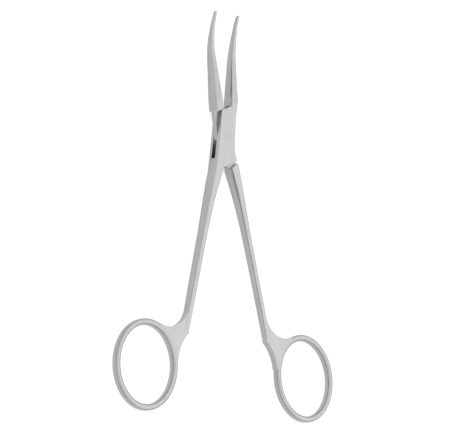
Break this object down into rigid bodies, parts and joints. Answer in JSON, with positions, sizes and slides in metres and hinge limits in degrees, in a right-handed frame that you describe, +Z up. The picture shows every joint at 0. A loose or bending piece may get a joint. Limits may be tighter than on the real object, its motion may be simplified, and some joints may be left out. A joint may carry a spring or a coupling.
{
  "type": "curved splinter forceps",
  "caption": "Fine splinter forceps with curved, cross-serrated tips, a riveted box lock, slim tapering shanks and oval finger rings, lying partly open.",
  "frame": {"origin": "on the lock's pivot axis, in the plane of the lock's underside, on which the forceps lie", "axes": "+Y from the lock towards the tips, +Z up along the pivot axis to the side that the tips curve to, +X to the side of the slotted half's jaw"},
  "size_m": [0.091, 0.1364, 0.0054],
  "materials": {
    "satin_steel": "satin-ground stainless steel",
    "pin_steel": "stainless steel rivet, ground flush with the lock"
  },
  "bodies": {
    "box_half": {"box_half": "satin_steel", "lock_pin": "pin_steel"},
    "tongue_half": {"tongue_half": "satin_steel"}
  },
  "joints": [
    {"name": "lock_hinge", "type": "hinge", "parent": "box_half", "child": "tongue_half", "pos_m": [0, 0, 0], "axis": [0, 0, 1], "range_deg": [-11.4, 60]}
  ]
}
